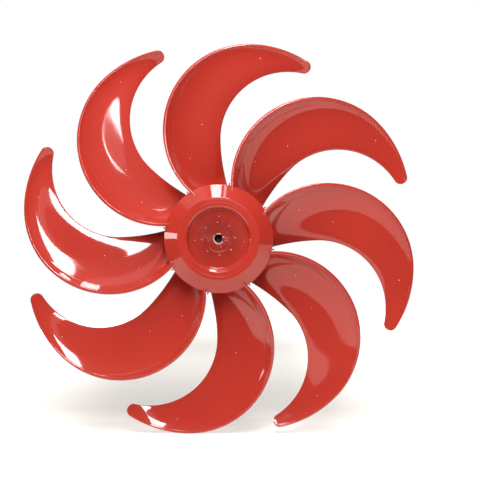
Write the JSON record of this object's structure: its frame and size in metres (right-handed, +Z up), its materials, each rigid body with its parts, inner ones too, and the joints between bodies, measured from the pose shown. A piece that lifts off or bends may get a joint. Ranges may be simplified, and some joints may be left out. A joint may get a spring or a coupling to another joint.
{
  "type": "wind turbine rotor",
  "caption": "Red sickle-bladed rotor with a round recessed hub, on the shaft of a short finned generator with a flat rear mounting face.",
  "frame": {"origin": "centre of the generator's rear mounting face", "axes": "+Y along the shaft, out of the rear mounting face; the hub's front faces -Y; +Z up"},
  "size_m": [0.3934, 0.096, 0.3934],
  "materials": {
    "hub_plastic": "glossy injection-moulded red",
    "blade_plastic": "glossy injection-moulded red",
    "bright_steel": "ground and polished",
    "dark_steel": "black oxide",
    "magnet_plating": "nickel plated",
    "cast_aluminium": "die cast, bead blasted",
    "core_steel": "stacked laminations",
    "copper_wire": "enamelled winding wire",
    "seal_rubber": "matt black",
    "gland_plastic": "black, fine texture"
  },
  "bodies": {
    "generator": {"front_cover": "cast_aluminium", "stator_housing": "cast_aluminium", "rear_cover": "cast_aluminium", "stator_core": "core_steel", "stator_coil_1": "copper_wire", "stator_coil_2": "copper_wire", "stator_coil_3": "copper_wire", "stator_coil_4": "copper_wire", "stator_coil_5": "copper_wire", "stator_coil_6": "copper_wire", "stator_coil_7": "copper_wire", "stator_coil_8": "copper_wire", "stator_coil_9": "copper_wire", "front_bearing_outer_ring": "bright_steel", "rear_bearing_outer_ring": "bright_steel", "shaft_seal": "seal_rubber", "housing_bolt_1": "dark_steel", "housing_bolt_2": "dark_steel", "housing_bolt_3": "dark_steel", "housing_bolt_4": "dark_steel", "lead_gland": "gland_plastic"},
    "rotor": {"hub_shell": "hub_plastic", "hub_centre": "hub_plastic", "blade_1": "blade_plastic", "blade_2": "blade_plastic", "blade_3": "blade_plastic", "blade_4": "blade_plastic", "blade_5": "blade_plastic", "blade_6": "blade_plastic", "blade_7": "blade_plastic", "blade_8": "blade_plastic", "hub_back_plate": "hub_plastic", "hub_back_screw_1": "bright_steel", "hub_back_screw_2": "bright_steel", "hub_back_screw_3": "bright_steel", "hub_back_screw_4": "bright_steel", "shaft_collar": "cast_aluminium", "collar_set_screw": "dark_steel", "rotor_shaft": "dark_steel", "shaft_circlip": "dark_steel", "magnet_carrier": "dark_steel", "magnet_1": "magnet_plating", "magnet_2": "magnet_plating", "magnet_3": "magnet_plating", "magnet_4": "magnet_plating", "magnet_5": "magnet_plating", "magnet_6": "magnet_plating", "magnet_7": "magnet_plating", "magnet_8": "magnet_plating", "front_bearing_inner_ring": "bright_steel", "rear_bearing_inner_ring": "bright_steel"},
    "front_cage": {"front_bearing_ball_cage": "bright_steel"},
    "rear_cage": {"rear_bearing_ball_cage": "bright_steel"}
  },
  "joints": [
    {"name": "rotor_spin", "type": "hinge", "parent": "generator", "child": "rotor", "pos_m": [0, 0, 0], "axis": [0, 1, 0], "continuous": true},
    {"name": "front_cage_spin", "type": "hinge", "parent": "generator", "child": "front_cage", "pos_m": [0, -0.0415, 0], "axis": [0, 1, 0], "continuous": true},
    {"name": "rear_cage_spin", "type": "hinge", "parent": "generator", "child": "rear_cage", "pos_m": [0, -0.0099, 0], "axis": [0, 1, 0], "continuous": true}
  ],
  "couplings": [
    {"joint": "front_cage_spin", "follows": "rotor_spin", "ratio": 0.373},
    {"joint": "rear_cage_spin", "follows": "rotor_spin", "ratio": 0.373}
  ]
}
